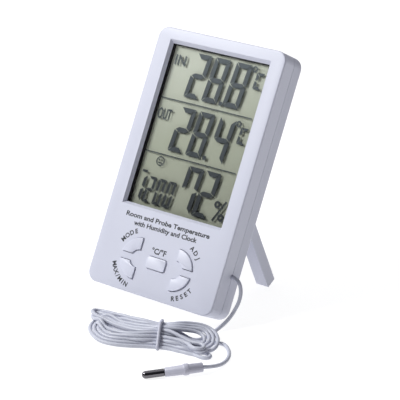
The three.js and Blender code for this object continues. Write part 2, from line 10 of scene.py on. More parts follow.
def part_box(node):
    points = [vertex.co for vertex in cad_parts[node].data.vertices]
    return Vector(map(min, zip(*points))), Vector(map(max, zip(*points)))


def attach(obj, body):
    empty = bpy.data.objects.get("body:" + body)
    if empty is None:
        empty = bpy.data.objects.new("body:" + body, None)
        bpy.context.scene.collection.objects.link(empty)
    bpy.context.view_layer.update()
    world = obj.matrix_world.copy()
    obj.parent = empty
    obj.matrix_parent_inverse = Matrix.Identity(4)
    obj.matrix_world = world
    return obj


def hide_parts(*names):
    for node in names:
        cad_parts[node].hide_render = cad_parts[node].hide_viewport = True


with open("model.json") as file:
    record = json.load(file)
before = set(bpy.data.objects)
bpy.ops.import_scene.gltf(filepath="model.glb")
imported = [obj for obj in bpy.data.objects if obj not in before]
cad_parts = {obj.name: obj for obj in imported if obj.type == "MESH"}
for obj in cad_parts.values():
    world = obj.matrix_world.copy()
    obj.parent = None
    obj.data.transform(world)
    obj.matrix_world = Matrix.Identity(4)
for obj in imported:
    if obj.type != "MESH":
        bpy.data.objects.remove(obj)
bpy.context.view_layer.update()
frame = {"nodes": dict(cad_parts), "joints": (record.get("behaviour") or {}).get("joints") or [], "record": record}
MM = 0.001

# ---------------------------------------------------------------- the leaning case's own frame
# X to the right, Y from the display to the back, Z up the display, with the origin at the lower front edge.
joints = {joint["name"]: joint for joint in frame["joints"]}
ACROSS = Vector((1, 0, 0))
INWARD = Vector(joints["battery_door_lift"]["axis"]).normalized()
UPWARD = ACROSS.cross(INWARD)
HINGE_IN_CASE = Vector((0, 16.4, 64.15)) * MM
hinge = Vector(joints["stand_hinge"]["pos_m"])
TURN = Matrix((ACROSS, INWARD, UPWARD)).transposed()
CASE = Matrix.Translation(hinge - TURN @ HINGE_IN_CASE) @ TURN.to_4x4()

# ---------------------------------------------------------------- camera
CAMERA_AT = Vector((584.2, -779.9, 454.5)) * MM
CAMERA_AIM = Vector((11.8, -10.0, 60.2)) * MM
LENS_MM = 164.5
SENSOR_MM = 36
CLIP_M = (0.01, 20)


def add_camera():
    data = bpy.data.cameras.new("camera")
    data.lens = LENS_MM
    data.sensor_width = SENSOR_MM
    data.clip_start, data.clip_end = CLIP_M
    camera = bpy.data.objects.new("camera", data)
    bpy.context.scene.collection.objects.link(camera)
    camera.location = CAMERA_AT
    camera.rotation_euler = (CAMERA_AIM - CAMERA_AT).to_track_quat("-Z", "Y").to_euler()
    bpy.context.scene.camera = camera


add_camera()

# ---------------------------------------------------------------- node helpers
NOISE_ROUGHNESS = 0.55
NOISE_RANGE = (0.3, 0.7)
DRIFT_SCALE = 38
LINE_SCALE = 900
CREASE_SCALE = 420
# How far the gloss of each kind of surface strays below and above its roughness.
PLASTIC_GLOSS = (-0.05, 0.06)
METAL_GLOSS = (-0.06, 0.08)
PAINT_GLOSS = (-0.06, 0.06)


def new_material(name, color, roughness, **sockets):
    """A principled material, its node tree and its shader, with constants on the shader's own sockets."""
    material = bpy.data.materials.new(name)
    material.use_nodes = True
    tree = material.node_tree
    shader = tree.nodes["Principled BSDF"]
    shader.inputs["Base Color"].default_value = (*color, 1)
    shader.inputs["Roughness"].default_value = roughness
    for socket, value in sockets.items():
        shader.inputs[socket.replace("_", " ")].default_value = value
    return material, tree, shader


def place_vector(tree, scale=(1, 1, 1)):
    """The surface's own place in metres, stretched by scale."""
    place = tree.nodes.new("ShaderNodeTexCoord")
    mapping = tree.nodes.new("ShaderNodeMapping")
    mapping.inputs["Scale"].default_value = scale
    tree.links.new(place.outputs["Object"], mapping.inputs["Vector"])
    return mapping.outputs["Vector"]


def noise(tree, vector, scale, detail=3):
    node = tree.nodes.new("ShaderNodeTexNoise")
    node.inputs["Scale"].default_value = scale
    node.inputs["Detail"].default_value = detail
    node.inputs["Roughness"].default_value = NOISE_ROUGHNESS
    tree.links.new(vector, node.inputs["Vector"])
    return node.outputs["Fac"]


def spread(tree, factor, low, high):
    """Maps a noise's usual range onto low to high."""
    node = tree.nodes.new("ShaderNodeMapRange")
    node.inputs["From Min"].default_value = NOISE_RANGE[0]
    node.inputs["From Max"].default_value = NOISE_RANGE[1]
    node.inputs["To Min"].default_value = low
    node.inputs["To Max"].default_value = high
    tree.links.new(factor, node.inputs["Value"])
    return node.outputs["Result"]


def ramp(tree, factor, stops):
    node = tree.nodes.new("ShaderNodeValToRGB")
    elements = node.color_ramp.elements
    while len(elements) < len(stops):
        elements.new(0.5)
    for element, (place, color) in zip(elements, stops):
        element.position = place
        element.color = (*color, 1)
    tree.links.new(factor, node.inputs["Fac"])
    return node.outputs["Color"]


def bump(tree, shader, height, distance, strength=1.0):
    node = tree.nodes.new("ShaderNodeBump")
    node.inputs["Distance"].default_value = distance
    node.inputs["Strength"].default_value = strength
    tree.links.new(height, node.inputs["Height"])
    tree.links.new(node.outputs["Normal"], shader.inputs["Normal"])


def shade(color, factor):
    return tuple(min(1.0, c * factor) for c in color)


def drift(tree, factor, low_color, high_color):
    """A colour that follows a noise from low_color to high_color."""
    return ramp(tree, factor, [(NOISE_RANGE[0], low_color), (NOISE_RANGE[1], high_color)])


def moulded_plastic(name, color, roughness, grain, mottle=0.03, depth=0.012, **sockets):
    """Moulded plastic: slow drift in its colour, a fine grain in its surface and in its gloss."""
    material, tree, shader = new_material(name, color, roughness, **sockets)
    place = place_vector(tree)
    slow = noise(tree, place, DRIFT_SCALE, 4)
    tint = drift(tree, slow, shade(color, 1 - mottle), shade(color, 1 + mottle))
    tree.links.new(tint, shader.inputs["Base Color"])
    fine = noise(tree, place, grain, 2)
    gloss = spread(tree, fine, roughness + PLASTIC_GLOSS[0], roughness + PLASTIC_GLOSS[1])
    tree.links.new(gloss, shader.inputs["Roughness"])
    bump(tree, shader, fine, depth * MM, 0.6)
    return material


def plated_metal(name, color, roughness, grain_scale):
    """Plated metal with fine lines drawn along one direction."""
    material, tree, shader = new_material(name, color, roughness, Metallic=1.0)
    lines = noise(tree, place_vector(tree, grain_scale), LINE_SCALE)
    gloss = spread(tree, lines, roughness + METAL_GLOSS[0], roughness + METAL_GLOSS[1])
    tree.links.new(gloss, shader.inputs["Roughness"])
    tint = drift(tree, lines, shade(color, 0.93), shade(color, 1.04))
    tree.links.new(tint, shader.inputs["Base Color"])
    bump(tree, shader, lines, 0.004 * MM, 0.5)
    return material


# ---------------------------------------------------------------- materials
CASE_COLOR = (0.575, 0.588, 0.695)
materials = {
    "case_white": moulded_plastic("case_white", CASE_COLOR, 0.42, 5200, 0.012, 0.006),
    "rear_white": moulded_plastic("rear_white", shade(CASE_COLOR, 0.96), 0.5, 2600, 0.015, 0.02),
    "key_white": moulded_plastic("key_white", shade(CASE_COLOR, 1.06), 0.38, 5200, 0.012, 0.005),
    "black_plastic": moulded_plastic("black_plastic", (0.012, 0.012, 0.014), 0.5, 3000, 0.1),
    "grey_rubber": moulded_plastic("grey_rubber", (0.2, 0.21, 0.22), 0.7, 2400, 0.06),
    "board_green": moulded_plastic("board_green", (0.01, 0.09, 0.035), 0.35, 1500, 0.15),
    "tin_plate": plated_metal("tin_plate", (0.7, 0.69, 0.66), 0.3, (1, 1, 12)),
    "sensor_white": moulded_plastic("sensor_white", (0.75, 0.76, 0.78), 0.5, 3000),
    "buzzer_brass": plated_metal("buzzer_brass", (0.72, 0.52, 0.22), 0.28, (8, 1, 8)),
    "screw_steel": plated_metal("screw_steel", (0.55, 0.56, 0.58), 0.32, (6, 6, 1)),
    "stainless": plated_metal("stainless", (0.16, 0.155, 0.17), 0.14, (2, 2, 20)),
    "cord_pvc": moulded_plastic("cord_pvc", (0.52, 0.535, 0.625), 0.38, 3400, 0.03, 0.01),
    "tie_white": moulded_plastic("tie_white", (0.48, 0.485, 0.58), 0.42, 3000, 0.05, 0.02),
    "probe_white": moulded_plastic("probe_white", (0.5, 0.5, 0.6), 0.36, 4200, 0.02, 0.008),
}


def battery_wrap():
    """Shrink wrap in one plain colour, with its two ends left bare."""
    color = (0.05, 0.16, 0.34)
    material, tree, shader = new_material("battery_wrap", color, 0.3, Coat_Weight=0.4)
    place = tree.nodes.new("ShaderNodeTexCoord")
    apart = tree.nodes.new("ShaderNodeSeparateXYZ")
    tree.links.new(place.outputs["Generated"], apart.inputs["Vector"])
    stops = [(0.0, (0.6, 0.6, 0.6)), (0.06, color), (0.9, color), (0.94, (0.62, 0.45, 0.2))]
    tree.links.new(ramp(tree, apart.outputs["X"], stops), shader.inputs["Base Color"])
    creases = noise(tree, place_vector(tree, (1, 4, 4)), CREASE_SCALE, 2)
    tree.links.new(spread(tree, creases, 0.22, 0.4), shader.inputs["Roughness"])
    bump(tree, shader, creases, 0.02 * MM, 0.4)
    return material


SLANT_POWER = 4
SLANT_SHARE = 0.5


def clear_sheet(name, tint, head_on, haze_scale):
    """A clear sheet: light passes, and each face reflects head_on of it, and more of it at a low angle."""
    material = bpy.data.materials.new(name)
    material.use_nodes = True
    tree = material.node_tree
    tree.nodes.remove(tree.nodes["Principled BSDF"])
    through = tree.nodes.new("ShaderNodeBsdfTransparent")
    through.inputs["Color"].default_value = (*tint, 1)
    mirror = tree.nodes.new("ShaderNodeBsdfGlossy")
    haze = spread(tree, noise(tree, place_vector(tree), haze_scale), 0.02, 0.07)
    tree.links.new(haze, mirror.inputs["Roughness"])
    slant = tree.nodes.new("ShaderNodeLayerWeight")
    steep = tree.nodes.new("ShaderNodeMath")
    steep.operation = "POWER"
    steep.inputs[1].default_value = SLANT_POWER
    tree.links.new(slant.outputs["Facing"], steep.inputs[0])
    share = tree.nodes.new("ShaderNodeMath")
    share.operation = "MULTIPLY_ADD"
    share.inputs[1].default_value = SLANT_SHARE
    share.inputs[2].default_value = head_on
    tree.links.new(steep.outputs["Value"], share.inputs[0])
    mix = tree.nodes.new("ShaderNodeMixShader")
    tree.links.new(share.outputs["Value"], mix.inputs["Fac"])
    tree.links.new(through.outputs["BSDF"], mix.inputs[1])
    tree.links.new(mirror.outputs["BSDF"], mix.inputs[2])
    tree.links.new(mix.outputs["Shader"], tree.nodes["Material Output"].inputs["Surface"])
    return material


DULL = 0.1


def painted_light_gradient(name, roughness, low_z, high_z, stops, grain, tilt):
    """Dull paint with painted light: its colour changes slowly up the display, and across it by tilt, with a fine
    grain.
    """
    material, tree, shader = new_material(name, stops[0][1], roughness, Specular_IOR_Level=DULL)
    place = tree.nodes.new("ShaderNodeTexCoord")
    apart = tree.nodes.new("ShaderNodeSeparateXYZ")
    tree.links.new(place.outputs["Object"], apart.inputs["Vector"])
    slope = tree.nodes.new("ShaderNodeMath")
    slope.operation = "MULTIPLY_ADD"
    slope.inputs[1].default_value = -tilt
    tree.links.new(apart.outputs["X"], slope.inputs[0])
    tree.links.new(apart.outputs["Z"], slope.inputs[2])
    level = tree.nodes.new("ShaderNodeMapRange")
    level.inputs["From Min"].default_value = low_z
    level.inputs["From Max"].default_value = high_z
    tree.links.new(slope.outputs["Value"], level.inputs["Value"])
    tree.links.new(ramp(tree, level.outputs["Result"], stops), shader.inputs["Base Color"])
    fine = noise(tree, place_vector(tree), grain, 2)
    gloss = spread(tree, fine, roughness + PAINT_GLOSS[0], roughness + PAINT_GLOSS[1])
    tree.links.new(gloss, shader.inputs["Roughness"])
    bump(tree, shader, fine, 0.006 * MM, 0.5)
    return material


# How strongly the display's painted light grows towards its left, against its growth upward.
LCD_LIGHT_TILT = 0.35
lcd_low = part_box("lcd_reflector")[0].z
lcd_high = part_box("lcd_reflector")[1].z
materials["battery_wrap"] = battery_wrap()
materials["clear_plastic"] = clear_sheet("clear_plastic", (0.985, 0.99, 0.985), 0.01, 60)
materials["lcd_glass"] = clear_sheet("lcd_glass", (0.97, 0.975, 0.96), 0.006, 90)
# The reflector is painted lighter towards the top and the left of the display: painted light falling from the
# upper left.
materials["lcd_reflector"] = painted_light_gradient(
    "lcd_reflector", 0.55, lcd_low, lcd_high,
    [(0.0, (0.35, 0.354, 0.31)), (0.5, (0.47, 0.48, 0.42)), (1.0, (0.675, 0.685, 0.64))], 2600, LCD_LIGHT_TILT,
)
# The ink is painted lighter towards the top of the display: painted light.
segment_ink = painted_light_gradient(
    "segment_ink", 0.5, lcd_low, lcd_high,
    [(0.0, (0.022, 0.025, 0.03)), (1.0, (0.1, 0.115, 0.13))], 1800, 0.0,
)
# The segments' painted shadow on the reflector: darker than the reflector, and lighter towards the top and the
# left with the same painted light.
segment_shadow = painted_light_gradient(
    "segment_shadow", 0.6, lcd_low, lcd_high,
    [(0.0, (0.15, 0.16, 0.155)), (1.0, (0.29, 0.315, 0.31))], 1800, LCD_LIGHT_TILT,
)
print_ink = moulded_plastic("print_ink", (0.022, 0.024, 0.032), 0.5, 6000, 0.2)


# ---------------------------------------------------------------- carried-over CAD nodes
SMOOTH_ANGLE = math.radians(28)
ROUNDED_ANGLE = math.radians(40)
FLAT_ANGLE = math.radians(0.3)
WELD = 0.002 * MM
bodies = frame["record"]["behaviour"]["bodies"]
body_of_node = {node: body for body, nodes in bodies.items() for node in nodes}
slot_of_node = {part["node"]: part["material_slot"] for part in frame["record"]["subparts"]}


def smooth_copy(node, edge=0.0):
    """A copy of a CAD node with smooth round faces and, where edge is given, small rounded edges."""
    mesh = frame["nodes"][node].data.copy()
    work = bmesh.new()
    work.from_mesh(mesh)
    bmesh.ops.remove_doubles(work, verts=work.verts, dist=WELD)
    bmesh.ops.dissolve_limit(work, angle_limit=FLAT_ANGLE, verts=work.verts, edges=work.edges)
    work.to_mesh(mesh)
    work.free()
    piece = bpy.data.objects.new(node + "_finish", mesh)
    bpy.context.scene.collection.objects.link(piece)
    mesh.materials.clear()
    mesh.materials.append(materials[slot_of_node[node]])
    if edge:
        rounding = piece.modifiers.new("edges", "BEVEL")
        rounding.width = edge
        rounding.segments = 2
        rounding.limit_method = "ANGLE"
        rounding.angle_limit = ROUNDED_ANGLE
    mesh.shade_smooth()
    mesh.set_sharp_from_angle(angle=SMOOTH_ANGLE)
    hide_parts(node)
    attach(piece, body_of_node[node])
    return piece


KEYS = ["key_mode", "key_max_min", "key_unit", "key_adjust", "key_reset"]
KEY_EDGE = 0.28
EDGES = {**dict.fromkeys(KEYS, KEY_EDGE), "battery_door": 0.15, "stand": 0.35}
CORD_NODES = frame["record"]["physics"]["cord_nodes"]
for node in frame["nodes"]:
    if node not in CORD_NODES:
        smooth_copy(node, EDGES.get(node, 0.0) * MM)

# -------------------------------------------------------- the cord: one line from the case to the probe
CORD_R = 1.1
LEAD = [
    (41.4, -24, 26.3), (44.5, -24, 26.3), (47.2, -24.1, 25.9), (49.7, -24.5, 24.4), (51.4, -25.3, 21.6),
    (52.2, -26.4, 18.2), (52.2, -28.4, 14.2), (51.4, -30.9, 10.3), (50.4, -33.9, 6.8), (49, -36.9, 4),
    (47.9, -40, 2.3), (47.4, -44, 1.4), (47.6, -48.6, 1.1),
]
PROBE_LEAD = [
    (58.8, -53.7, 1.1), (61.4, -54, 1.1), (66, -57.2, 1.1), (70.1, -62, 1.1), (72.6, -67.4, 1.1),
    (73.5, -73.2, 1.3), (72.9, -79.3, 2.3), (70.5, -85.5, 3.6),
]
PROBE_END = (70.2, -86, 3.7)
# Each family of strands is held at stations along the hank, from its left end to its right end. A station has
# the family's first and last strand; those between are spaced evenly.
TIE_AT = (29.5, -70.7)
TIE_TURN = math.radians(120)


def at_tie(along, height):
    return (TIE_AT[0] + along * math.cos(TIE_TURN), TIE_AT[1] + along * math.sin(TIE_TURN), height)


FAMILIES = {
    # The upper strands: over the top of the tie, arched at the right end.
    "R": (4, [
        [(-14.4, -65.4, 3.6), (-9.5, -69.5, 3.3)], [(-5.5, -66.2, 4.4), (-0.6, -70.2, 3.6)],
        [(7, -66.8, 5.8), (10, -70.6, 4.6)], [(18, -66.2, 6.8), (20.3, -69.6, 6)],
        [at_tie(8.6, 6.6), at_tie(2.4, 7.6)],
        [(33.2, -60, 8.2), (35.6, -65.4, 8)], [(38.8, -54, 7.4), (40.8, -59.6, 6.4)],
    ]),
    # Two strands along the middle, on top, out to the tip at the right end.
    "D": (2, [
        [(-5.1, -73.9, 4.2), (-5.2, -78.2, 3.3)], [(3, -74.7, 4.2), (5, -81.4, 4.2)],
        [(13.5, -75.2, 5), (15.4, -80.4, 5.2)], [(22.6, -73.8, 6.2), (24, -77, 6.2)],
        [at_tie(1, 7.2), at_tie(-1, 6.2)],
        [(39.7, -68.3, 6.6), (39.9, -66.8, 5.4)], [(49.3, -68.7, 4.8), (49.4, -66.8, 4)],
    ]),
    # The front strands, stacked up from the table.
    "F": (4, [
        [(2.5, -84.4, 3.4), (5, -90.6, 1.1)], [(9, -84.6, 3.9), (11.5, -89.3, 1.1)],
        [(17, -82.6, 4.3), (18.8, -85.4, 1.1)], [(25.4, -78.6, 4.8), (27, -80.4, 1.1)],
        [at_tie(-3.2, 4.6), at_tie(-7.9, 1.2)],
        [(41.8, -71.4, 4.6), (42.6, -74.1, 1.1)], [(50.6, -70.4, 3.4), (52.6, -72.5, 1.1)],
    ]),
    # Four strands inside the hank that pass under the back half.
    "B": (4, [
        [(-7, -67.2, 1.1), (-1.5, -72, 1.1)], [(0, -66.4, 1.1), (4, -71.5, 1.1)],
        [(9, -66.6, 1.2), (12, -71, 1.2)], [(19, -66.6, 2.4), (21, -70, 1.2)],
        [at_tie(7.2, 4.2), at_tie(1.2, 1.2)],
        [(36, -62.5, 4.4), (37.4, -67.5, 1.4)], [(43, -60.5, 1.3), (44.8, -65.5, 1.1)],
    ]),
    # Two strands inside the front half.
    "G": (2, [
        [(3.6, -81, 1.1), (5.6, -84.6, 1.1)], [(9, -81.4, 1.2), (10.8, -85.6, 1.1)],
        [(17, -79.4, 1.6), (18.4, -82.6, 1.2)], [(24.3, -75.6, 2.2), (25.2, -78.1, 1.2)],
        [at_tie(-1.6, 3.3), at_tie(-5, 1.2)],
        [(39.6, -71.4, 2.6), (39, -69.2, 1.2)], [(49, -68.6, 1.2), (47.5, -66.2, 1.1)],
    ]),
}
# The order in which the one cord runs through the hank, first to the left and then to the right.
ORDER = ["B0", "G1", "R1", "D1", "F1", "B3", "R2", "F3", "F2", "R3", "B2", "G0", "R0", "D0", "F0", "B1"]
LEFT_TURNS = {
    ("B0", "G1"): [(-11.4, -69.8, 1.1), (-12, -75.4, 1.2), (-8.4, -81, 1.3), (-2, -85, 1.2)],
    ("R1", "D1"): [(-16.6, -66.4, 3.2), (-18.9, -69, 3.2), (-16.8, -72.6, 3.3), (-11, -76, 3.3)],
    ("F1", "B3"): [(-3, -83.4, 2.9), (-7.2, -79, 2.4), (-5.6, -74.4, 1.2)],
    ("R2", "F3"): [
        (-12.4, -71.6, 2), (-13, -76.2, 1.3), (-11.4, -81.2, 1.1), (-7.4, -85.6, 1.1), (-1.6, -88.8, 1.1),
    ],
    ("F2", "R3"): [(-3.4, -85.6, 1.8), (-8.2, -80.8, 1.6), (-10, -75.4, 1.9)],
    ("B2", "G0"): [(-7.4, -70.4, 1.1), (-9.8, -74.8, 1.1), (-7.8, -79.2, 1.2), (-2.4, -81.6, 1.3)],
    ("R0", "D0"): [(-19, -65.8, 3.5), (-19.6, -69, 4.2), (-16.4, -72.2, 4.6), (-11.4, -73.8, 4.5)],
    ("F0", "B1"): [(-2, -83, 3.6), (-6.6, -80, 3.8), (-9.2, -76.2, 2.8), (-8.8, -71.6, 1.1)],
}
RIGHT_TURNS = {
    ("G1", "R1"): [(53.6, -64.8, 1.1), (57, -62, 2), (56, -57.2, 3.4), (52, -53.4, 4.4), (46.8, -51.8, 6)],
    ("D1", "F1"): [
        (54, -66.8, 3.6), (58.2, -67.4, 3.2), (60.4, -69.8, 3.1), (58.4, -72.2, 3.1), (54.4, -72.4, 3),
    ],
    ("B3", "R2"): [(51.8, -64.2, 1.2), (54.2, -59.6, 2.8), (51.6, -55.2, 4.2), (46.6, -54, 5.8)],
    ("F3", "F2"): [
        (58, -73.4, 1.1), (61.8, -73.2, 1.1), (63.8, -71, 1.1), (62.2, -68.6, 1.1), (57.8, -68.6, 1.1),
    ],
    ("R3", "B2"): [(46.4, -56.7, 5), (50.9, -58.1, 3.7), (52, -61.2, 2.2), (49.6, -63.6, 1.3)],
    ("G0", "R0"): [
        (54.8, -66.6, 1.1), (59, -65.4, 1.2), (60.4, -61.6, 2.2), (58.5, -56.6, 3.3), (54.9, -52.2, 3.6),
        (49.4, -49, 4.6), (43.4, -50.2, 6.4),
    ],
    ("D0", "F0"): [
        (53.4, -67.4, 5.1), (57, -67.4, 5), (59.2, -69.9, 4.9), (57, -72.5, 4.8), (52.8, -72.5, 4.4),
    ],
}
LEAD_IN = [(47.6, -53, 1.1), (46.4, -57.4, 1.1)]
LEAD_OUT = [(48.5, -59.4, 1.1), (53, -57, 1.1), (56.6, -54.6, 1.1)]


def strand(name):
    """The stations of one strand, from the left end to the right end of the hank."""
    count, rails = FAMILIES[name[0]]
    step = int(name[1:]) / (count - 1)
    return [Vector(first).lerp(Vector(last), step) for first, last in rails]


def route_points():
    points = [Vector(p) for p in LEAD + LEAD_IN]
    for index, name in enumerate(ORDER):
        leftward = index % 2 == 0
        run = strand(name)
        points += reversed(run) if leftward else run
        if index + 1 < len(ORDER):
            turns = LEFT_TURNS if leftward else RIGHT_TURNS
            points += [Vector(p) for p in turns[(name, ORDER[index + 1])]]
    points += [Vector(p) for p in LEAD_OUT + PROBE_LEAD + [PROBE_END]]
    return points


CURVE_STEPS = 12


def smooth_path(points, spacing):
    """A centripetal Catmull-Rom curve through the points, then re-spaced evenly."""
    points = [points[0] * 2 - points[1]] + points + [points[-1] * 2 - points[-2]]
    dense = []
    for a, b, c, d in zip(points, points[1:], points[2:], points[3:]):
        t1 = (b - a).length ** 0.5
        t2 = t1 + (c - b).length ** 0.5
        t3 = t2 + (d - c).length ** 0.5
        for step in range(CURVE_STEPS):
            t = t1 + (t2 - t1) * step / CURVE_STEPS
            ab = a.lerp(b, t / t1)
            bc = b.lerp(c, (t - t1) / (t2 - t1))
            cd = c.lerp(d, (t - t2) / (t3 - t2))
            abc = ab.lerp(bc, t / t2)
            bcd = bc.lerp(cd, (t - t1) / (t3 - t1))
            dense.append(abc.lerp(bcd, (t - t1) / (t2 - t1)))
    dense.append(points[-2])
    dense = np.array(dense)
    along = np.concatenate([[0], np.cumsum(np.linalg.norm(np.diff(dense, axis=0), axis=1))])
    even = np.linspace(0, along[-1], int(along[-1] / spacing) + 1)
    return np.stack([np.interp(even, along, dense[:, k]) for k in range(3)], 1)


SPACING = 1.3
SETTLE_ROUNDS = 120
# The cord stays as drawn over these lengths at its two ends.
FIXED_START = 45
FIXED_END = 40
PUSH_APART = 0.45
PULL_TO_ROUTE = 0.03
STIFFNESS = 0.08
TINY = 1e-6


def settle(path, rounds, spacing, fixed_start, fixed_end):
    """Pushes strands out of each other and off the table while the cord's own stiffness keeps it smooth."""
    gap = 2 * CORD_R
    apart = int(3 * gap / spacing)
    count = len(path)
    index = np.arange(count)
    near_along = np.abs(index[:, None] - index[None, :]) < apart
    free = (index > fixed_start) & (index < count - fixed_end)
    drawn = path.copy()
    for _ in range(rounds):
        offset = path[:, None, :] - path[None, :, :]
        distance = np.sqrt((offset ** 2).sum(2)) + TINY
        overlap = np.clip(gap - distance, 0, None)
        overlap[near_along] = 0
        push = (offset / distance[..., None] * overlap[..., None]).sum(1)
        crowd = np.maximum((overlap > 0).sum(1), 1)
        move = PUSH_APART * push / np.sqrt(crowd)[:, None]
        move += PULL_TO_ROUTE * (drawn - path)
        move[2:-2] -= STIFFNESS * (path[:-4] - 4 * path[1:-3] + 6 * path[2:-2] - 4 * path[3:-1] + path[4:])
        path[free] += move[free]
        path[:, 2] = np.maximum(path[:, 2], CORD_R)
    return path


path = smooth_path(route_points(), SPACING)
path = settle(path, SETTLE_ROUNDS, SPACING, int(FIXED_START / SPACING), int(FIXED_END / SPACING))


def add_curve(name, points, radius, slot, sides=5):
    data = bpy.data.curves.new(name, "CURVE")
    data.dimensions = "3D"
    data.bevel_depth = radius * MM
    data.bevel_resolution = sides
    data.use_fill_caps = True
    spline = data.splines.new("POLY")
    spline.points.add(len(points) - 1)
    spline.points.foreach_set("co", np.c_[np.array(points) * MM, np.ones(len(points))].ravel())
    spline.use_smooth = True
    data.materials.append(materials[slot])
    piece = bpy.data.objects.new(name, data)
    bpy.context.scene.collection.objects.link(piece)
    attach(piece, "case")
    return piece


cord = add_curve("sensor_cord", path, CORD_R, "cord_pvc")
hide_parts("cord_lead", "cord_hank", "cord_probe_lead")

# ---------------------------------------------------------------- the tie round the hank
TIE_R = 1.0
TIE_REACH = 14
TIE_SPACING = 0.8
SKIN_SIDES = 12


def around_hank():
    """The outline of the strands where the tie goes round them, as places along the tie and heights."""
    along = (path[:, 0] - TIE_AT[0]) * math.cos(TIE_TURN) + (path[:, 1] - TIE_AT[1]) * math.sin(TIE_TURN)
    across = (path[:, 1] - TIE_AT[1]) * math.cos(TIE_TURN) - (path[:, 0] - TIE_AT[0]) * math.sin(TIE_TURN)
    inside = (np.abs(across) < TIE_R) & (np.abs(along) < TIE_REACH)
    skin = CORD_R + TIE_R
    turn = np.linspace(0, 2 * math.pi, SKIN_SIDES, endpoint=False)
    spots = zip(along[inside], path[inside, 2])
    ring = [(a + skin * math.cos(t), height + skin * math.sin(t)) for a, height in spots for t in turn]
    return convex_outline(sorted(ring))


def convex_outline(points):
    def half(ordered):
        kept = []
        for x, z in ordered:
            while len(kept) > 1:
                (ax, az), (bx, bz) = kept[-2:]
                if (bx - ax) * (z - az) - (bz - az) * (x - ax) > 0:
                    break
                kept.pop()
            kept.append((x, z))
        return kept[:-1]

    return half(points) + half(points[::-1])


def add_tie():
    """A closed band of soft wire drawn tight round the strands."""
    loop = [Vector(at_tie(along, max(height, TIE_R))) for along, height in around_hank()]
    ring = smooth_path(loop + loop[:2], TIE_SPACING)
    return add_curve("wire_tie", ring, TIE_R, "tie_white", 3)


tie = add_tie()
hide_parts("cord_tie")
sleeve = smooth_copy("probe_sleeve")
tip = smooth_copy("probe_tip")

# ---------------------------------------------------------------- display
LCD_SHEET_Y = 3.56
SHADOW_SHEET_Y = 5.08
SHEET_THICK = 0.03
SLANT = math.tan(math.radians(4))
GAP_SHARE = 0.11
RING_SIDES = 20
RING_OVERLAP = 1.02
SEGMENTS_ON = {
    "0": "abcdef", "1": "bc", "2": "abged", "4": "fgbc", "7": "fabc", "8": "abcdefg",
}


def segment_shapes(width, height, bar):
    """Corner lists of the seven bars of an upright digit, with mitred ends and narrow gaps."""
    gap = GAP_SHARE * bar
    half = height / 2
    inner = width - bar
    upper = [(0, height - gap), (bar, height - bar - gap), (bar, half + bar / 2 + gap), (0, half + gap)]
    top = [(gap, height), (width - gap, height), (inner - gap, height - bar), (bar + gap, height - bar)]
    middle = [
        (gap * 2, half), (bar, half + bar / 2), (inner, half + bar / 2), (width - gap * 2, half),
        (inner, half - bar / 2), (bar, half - bar / 2),
    ]

    def mirrored(shape, across=False, down=False):
        return [(width - x if across else x, height - z if down else z) for x, z in shape]

    return {
        "a": top, "g": middle, "d": mirrored(top, down=True), "f": upper, "b": mirrored(upper, across=True),
        "e": mirrored(upper, down=True), "c": mirrored(upper, across=True, down=True),
    }


def digit(character, low_x, high_x, low_z, high_z, bar):
    height = high_z - low_z
    lean = height * SLANT
    shapes = segment_shapes(high_x - low_x - lean, height, bar)
    return [
        [(low_x + x + z * SLANT, low_z + z) for x, z in shapes[letter]] for letter in SEGMENTS_ON[character]
    ]


def block(low_x, low_z, wide, tall):
    return [(low_x, low_z), (low_x + wide, low_z), (low_x + wide, low_z + tall), (low_x, low_z + tall)]


def disc(x, z, radius, sides):
    turn = [2 * math.pi * k / sides for k in range(sides)]
    return [(x + radius * math.cos(a), z + radius * math.sin(a)) for a in turn]


def ring_parts(x, z, inner, outer):
    parts = []
    for k in range(RING_SIDES):
        a, b = (2 * math.pi * (k + side) / RING_SIDES for side in (0, RING_OVERLAP))
        corners = [(inner, a), (outer, a), (outer, b), (inner, b)]
        parts.append([(x + radius * math.cos(turn), z + radius * math.sin(turn)) for radius, turn in corners])
    return parts


def line_part(start, end, wide):
    (x0, z0), (x1, z1) = start, end
    long = math.hypot(x1 - x0, z1 - z0)
    nx, nz = -(z1 - z0) / long * wide / 2, (x1 - x0) / long * wide / 2
    return [(x0 + nx, z0 + nz), (x1 + nx, z1 + nz), (x1 - nx, z1 - nz), (x0 - nx, z0 - nz)]


# Places on the display are across from its middle and up from the low edge of the case's face.
ROWS_Z = [(116.8, 143.0), (84.6, 110.8)]
ROW_DIGITS = ["288", "284"]
ROW_DIGITS_X = [(-17.8, -5.7), (-5.1, 7.5), (9.7, 22.5)]
BIG_BAR = 2.75
LOW_ROW_Z = 52.3
HUMIDITY_TOP = 79.1
HUMIDITY_DIGITS = [("7", -1.7, 11.0), ("2", 10.6, 23.0)]
CLOCK_TOP = 67.6
CLOCK_WIDE = 6.3
CLOCK_BAR = 1.55
CLOCK_FIRST = ("1", -30.6, -25.6)
CLOCK_FIRST_BAR = 1.9
CLOCK_MARK = (-30.2, 69.1, 3.6, 1.3)
CLOCK_DIGITS = [("2", -25.2), ("0", -18.0), ("0", -10.9)]
RULES_Z = (113.4, 81.3)
RULE_FROM = -32.5
RULE_SIZE = (64.2, 0.5)
DECIMAL_X = 7.1
DECIMAL_SINK = 0.1
DECIMAL_SIZE = (2.3, 2.2)
DEGREE_X = 24.4
DEGREE_DROP = 1.7
DEGREE_RADII = (0.95, 1.75)
C_X = 26
C_WIDE = 5.4
C_BAR = 1.7
C_RISE = 13.4
C_DROP = 3.2
PERCENT_RINGS = [(25.9, 62.1), (30.3, 55.4)]
PERCENT_RADII = (0.85, 2.1)
PERCENT_BAR = ((25.2, 52.6), (31.2, 64.9), 1.1)
FACE_AT = (-20.2, 77.4)
FACE_RADII = (2.3, 2.8)
EYE_RISE = 0.7
EYE_R = 0.4
EYE_SIDES = 8
MOUTH_HALF = 1.4
MOUTH_THICK = 0.5


